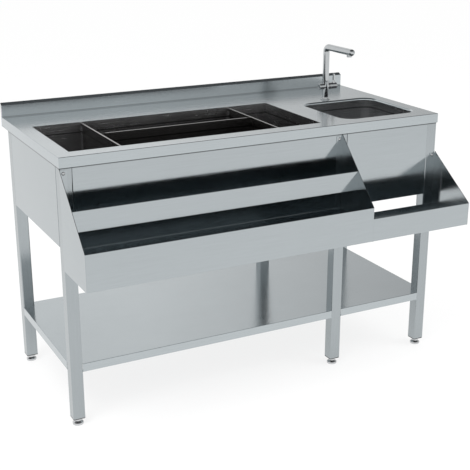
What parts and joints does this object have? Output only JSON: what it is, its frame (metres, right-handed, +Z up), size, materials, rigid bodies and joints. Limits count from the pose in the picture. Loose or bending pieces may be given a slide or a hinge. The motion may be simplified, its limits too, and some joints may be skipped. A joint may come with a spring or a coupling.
{
  "type": "bar sink with ice bin",
  "caption": "Stainless steel bar sink with an insulated ice bin, lift-out dividers, bottle rails, a lower shelf and a swivel tap.",
  "frame": {"origin": "middle of the overall box, on the floor under the feet", "axes": "+X to the right along the worktop, +Y to the upstand at the back, +Z up"},
  "size_m": [1.4, 0.85, 1.1099],
  "materials": {
    "steel": "satin brushed",
    "bright_steel": "polished",
    "chrome": "polished",
    "brass": "turned",
    "rubber": "matt",
    "black_plastic": "moulded",
    "foam": "cut foam"
  },
  "bodies": {
    "frame": {"worktop": "steel", "ice_bin_liner": "steel", "ice_bin_casing": "steel", "ice_bin_drain": "steel", "divider_guides": "steel", "bowl_surround": "steel", "sink_bowl": "steel", "apron_left": "steel", "apron_right": "steel", "side_panel_left": "steel", "side_panel_right": "steel", "rear_rail_left": "steel", "rear_rail_right": "steel", "cross_rail": "steel", "lower_shelf": "steel", "shelf_stiffeners": "steel", "rail_plate_left": "steel", "rail_plate_middle_left": "steel", "rail_plate_middle_right": "steel", "rail_plate_right": "steel", "trough_upper": "steel", "trough_lower": "steel", "trough_right": "steel", "leg_front_left": "steel", "leg_front_middle": "steel", "leg_front_right": "steel", "leg_back_left": "steel", "leg_back_middle": "steel", "leg_back_right": "steel", "ice_bin_foam": "foam", "ice_bin_drain_nut": "black_plastic", "sink_waste": "bright_steel", "sink_waste_seal": "rubber", "sink_waste_nut": "black_plastic", "tap_base_ring": "chrome", "tap_body": "chrome", "tap_washer": "rubber", "tap_nut": "brass", "tap_inlets": "brass", "leg_inserts": "black_plastic", "rail_screws": "bright_steel"},
    "ice_strainer": {"ice_bin_strainer": "bright_steel"},
    "sink_strainer": {"sink_strainer": "bright_steel"},
    "divider_left": {"divider_left": "steel", "divider_left_strips": "steel"},
    "divider_right": {"divider_right": "steel", "divider_right_strips": "steel"},
    "divider_middle": {"divider_middle": "steel"},
    "spout": {"tap_spout": "chrome", "tap_aerator": "chrome"},
    "handle": {"tap_handle": "chrome", "tap_lever": "chrome", "tap_rotor": "brass"},
    "foot_front_left": {"foot_front_left": "bright_steel"},
    "foot_front_middle": {"foot_front_middle": "bright_steel"},
    "foot_front_right": {"foot_front_right": "bright_steel"},
    "foot_back_left": {"foot_back_left": "bright_steel"},
    "foot_back_middle": {"foot_back_middle": "bright_steel"},
    "foot_back_right": {"foot_back_right": "bright_steel"}
  },
  "joints": [
    {"name": "spout_swivel", "type": "hinge", "parent": "frame", "child": "spout", "pos_m": [0.481, 0.18, 0.968], "axis": [0, 0, 1], "range_deg": [-90, 90]},
    {"name": "handle_turn", "type": "hinge", "parent": "frame", "child": "handle", "pos_m": [0.505, 0.18, 0.95], "axis": [1, 0, 0], "range_deg": [0, 90]},
    {"name": "divider_left_lift", "type": "slide", "parent": "frame", "child": "divider_left", "axis": [0, 0, 1], "range_m": [0, 0.25]},
    {"name": "divider_right_lift", "type": "slide", "parent": "frame", "child": "divider_right", "axis": [0, 0, 1], "range_m": [0, 0.25]},
    {"name": "divider_middle_lift", "type": "slide", "parent": "frame", "child": "divider_middle", "axis": [0, 0, 1], "range_m": [0, 0.25]},
    {"name": "ice_strainer_lift", "type": "slide", "parent": "frame", "child": "ice_strainer", "axis": [0, 0, 1], "range_m": [0, 0.26]},
    {"name": "sink_strainer_lift", "type": "slide", "parent": "frame", "child": "sink_strainer", "axis": [0, 0, 1], "range_m": [0, 0.2]},
    {"name": "foot_front_left_level", "type": "slide", "parent": "frame", "child": "foot_front_left", "axis": [0, 0, -1], "range_m": [0, 0.015]},
    {"name": "foot_front_middle_level", "type": "slide", "parent": "frame", "child": "foot_front_middle", "axis": [0, 0, -1], "range_m": [0, 0.015]},
    {"name": "foot_front_right_level", "type": "slide", "parent": "frame", "child": "foot_front_right", "axis": [0, 0, -1], "range_m": [0, 0.015]},
    {"name": "foot_back_left_level", "type": "slide", "parent": "frame", "child": "foot_back_left", "axis": [0, 0, -1], "range_m": [0, 0.015]},
    {"name": "foot_back_middle_level", "type": "slide", "parent": "frame", "child": "foot_back_middle", "axis": [0, 0, -1], "range_m": [0, 0.015]},
    {"name": "foot_back_right_level", "type": "slide", "parent": "frame", "child": "foot_back_right", "axis": [0, 0, -1], "range_m": [0, 0.015]}
  ]
}
